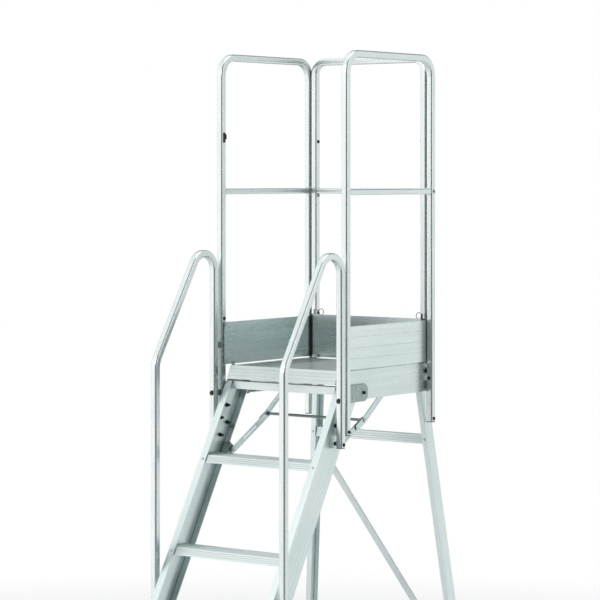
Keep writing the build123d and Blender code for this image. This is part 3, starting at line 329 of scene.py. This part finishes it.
def pale_floor():
    """Round floor that fades into the white background away from the ladder."""
    bpy.ops.mesh.primitive_circle_add(vertices=96, radius=FLOOR_RADIUS, fill_type="NGON",
                                      location=(0.0, 0.0, -FLOOR_DROP))
    floor = bpy.context.object
    floor.name = "studio_floor"
    shader = Shader("pale_floor")
    surface = shader.surface
    place = shader.place()
    grain = shader.noise(place, 30.0, 4.0, 0.6)
    tone = shader.mix(shader.spread(grain, 0.3, 0.7, 0.0, 1.0), colour(0.86), colour(0.90))
    shader.link(tone, surface.inputs["Base Color"])
    surface.inputs["Roughness"].default_value = 0.7
    distance = shader.add("VectorMath", operation="LENGTH")
    shader.link(place, distance.inputs[0])
    fade = shader.spread(distance.outputs["Value"], FADE_START, FADE_END, 0.0, 1.0)
    clear = shader.add("BsdfTransparent")
    blend = shader.add("MixShader")
    shader.link(fade, blend.inputs[0])
    shader.link(surface.outputs[0], blend.inputs[1])
    shader.link(clear.outputs[0], blend.inputs[2])
    output = shader.tree.nodes["Material Output"]
    shader.link(blend.outputs[0], output.inputs["Surface"])
    floor.data.materials.append(shader.material)
    return floor


pale_floor()

# The room around the ladder: a bright wall to the front left, a dimmer one to
# the back right and dark gaps between them.  The camera itself sees plain white.
BRIGHT_WALL = 234.0             # compass angle of the bright wall, from +X towards +Y
DARK_WALL = 306.0
DARK_BEAM = (0.0, 0.81, 0.59)   # direction of a dark ceiling beam behind the ladder
CEILING_COLOUR = (0.92, 0.95, 0.96, 1.0)
DARK_WALL_COLOUR = (0.10, 0.115, 0.125, 1.0)
DARK_BEAM_COLOUR = (0.14, 0.16, 0.17, 1.0)
WHITE = (1.0, 1.0, 1.0, 1.0)
# Brightness round the room, as (place, brightness): place runs from 0, straight
# away from the bright wall, to 1, straight towards it.
ROOM_STOPS = [(0.0, 0.84), (0.10, 0.78), (0.28, 0.42), (0.50, 0.24), (0.70, 0.42),
              (0.88, 1.08), (1.0, 1.22)]


def room_light():
    """World shader with a brightness for each direction."""
    world = bpy.data.worlds.new("studio")
    bpy.context.scene.world = world
    world.use_nodes = True
    tree = world.node_tree

    def add(kind, **settings):
        node = tree.nodes.new("ShaderNode" + kind)
        for key, value in settings.items():
            setattr(node, key, value)
        return node

    def toward(direction, compass):
        """How far a direction points to a compass angle, from -1 to 1."""
        angle = math.radians(compass)
        dot = add("VectorMath", operation="DOT_PRODUCT")
        tree.links.new(direction, dot.inputs[0])
        dot.inputs[1].default_value = (math.cos(angle), math.sin(angle), 0.0)
        return dot.outputs["Value"]

    def spread(value, low, high, to_low, to_high):
        node = add("MapRange", clamp=True, interpolation_type="SMOOTHSTEP")
        tree.links.new(value, node.inputs["Value"])
        for key, number in zip(("From Min", "From Max", "To Min", "To Max"),
                               (low, high, to_low, to_high)):
            node.inputs[key].default_value = number
        return node.outputs["Result"]

    direction = add("TexCoord").outputs["Generated"]
    flat = add("VectorMath", operation="MULTIPLY")
    tree.links.new(direction, flat.inputs[0])
    flat.inputs[1].default_value = (1.0, 1.0, 0.0)
    level = add("VectorMath", operation="NORMALIZE")
    tree.links.new(flat.outputs[0], level.inputs[0])
    around = level.outputs[0]

    wall = add("ValToRGB")
    share = add("MapRange")
    share.inputs["From Min"].default_value = -1.0
    tree.links.new(toward(around, BRIGHT_WALL), share.inputs["Value"])
    tree.links.new(share.outputs["Result"], wall.inputs["Fac"])
    stops = wall.color_ramp.elements
    while len(stops) < len(ROOM_STOPS):
        stops.new(0.5)
    for stop, (position, value) in zip(stops, ROOM_STOPS):
        stop.position = position
        red_share = 0.86 + 0.14 * value     # the darker parts of the room are bluer
        stop.color = (value * red_share, value, value * 1.01, 1.0)

    split = add("SeparateXYZ")
    tree.links.new(direction, split.inputs[0])
    ceiling = add("MixRGB", blend_type="MIX")
    tree.links.new(spread(split.outputs["Z"], 0.25, 0.9, 0.0, 1.0), ceiling.inputs[0])
    tree.links.new(wall.outputs["Color"], ceiling.inputs[1])
    ceiling.inputs[2].default_value = CEILING_COLOUR

    low_down = add("Math", operation="MULTIPLY")
    tree.links.new(spread(toward(around, DARK_WALL), 0.15, 0.85, 0.0, 0.85), low_down.inputs[0])
    tree.links.new(spread(split.outputs["Z"], 0.70, 0.97, 1.0, 0.0), low_down.inputs[1])
    dim = add("MixRGB", blend_type="MULTIPLY")
    tree.links.new(low_down.outputs[0], dim.inputs[0])
    tree.links.new(ceiling.outputs[0], dim.inputs[1])
    dim.inputs[2].default_value = DARK_WALL_COLOUR

    near_beam = add("VectorMath", operation="DOT_PRODUCT")
    tree.links.new(direction, near_beam.inputs[0])
    near_beam.inputs[1].default_value = DARK_BEAM
    beam = add("MixRGB", blend_type="MULTIPLY")
    tree.links.new(spread(near_beam.outputs["Value"], 0.82, 0.95, 0.0, 0.90), beam.inputs[0])
    tree.links.new(dim.outputs[0], beam.inputs[1])
    beam.inputs[2].default_value = DARK_BEAM_COLOUR

    room = tree.nodes["Background"]
    tree.links.new(beam.outputs[0], room.inputs["Color"])
    seen = add("Background")
    seen.inputs["Color"].default_value = WHITE
    choose = add("MixShader")
    tree.links.new(add("LightPath").outputs["Is Camera Ray"], choose.inputs[0])
    tree.links.new(room.outputs[0], choose.inputs[1])
    tree.links.new(seen.outputs[0], choose.inputs[2])
    tree.links.new(choose.outputs[0], tree.nodes["World Output"].inputs["Surface"])


room_light()


def softbox(name, place, target, size, power):
    """Square studio light aimed at a point."""
    lamp = bpy.data.lights.new(name, "AREA")
    lamp.shape = "RECTANGLE"
    lamp.size, lamp.size_y = size
    lamp.energy = power
    box = bpy.data.objects.new(name, lamp)
    box.location = place
    aim = Vector(target) - Vector(place)
    box.rotation_euler = aim.to_track_quat("-Z", "Y").to_euler()
    bpy.context.scene.collection.objects.link(box)


MIDDLE = (0.0, 0.2, 1.5)        # point that the lights aim at
LIGHTS = {                      # place, size and power in watts
    "front_light": ((-1.5, -6.0, 4.5), (3.0, 3.0), 60.0),
    "right_light": ((6.0, 1.0, 3.5), (3.0, 4.0), 40.0),
    "top_light": ((0.0, 0.5, 7.0), (4.0, 4.0), 60.0),
}
for name, (lamp_place, lamp_size, watts) in LIGHTS.items():
    softbox(name, lamp_place, MIDDLE, lamp_size, watts)

# Level camera to the front right of the ladder, at the height of the mid rails.
CAMERA_PLACE = (5.17944, -6.8899, 2.17582)
CAMERA_TURN = math.radians(36.23)
LEVEL = math.radians(90.0)
LENS = 149.7                    # millimetres
SENSOR = 36.0
SHIFT_Y = -0.2108               # looks down without tilting the camera
FAR_CLIP = 200.0

camera_data = bpy.data.cameras.new("camera")
camera_data.sensor_width = SENSOR
camera_data.lens = LENS
camera_data.shift_y = SHIFT_Y
camera_data.clip_end = FAR_CLIP
camera = bpy.data.objects.new("camera", camera_data)
camera.location = CAMERA_PLACE
camera.rotation_euler = (LEVEL, 0.0, CAMERA_TURN)
bpy.context.scene.collection.objects.link(camera)
bpy.context.scene.camera = camera
bpy.context.scene.view_settings.view_transform = "Standard"
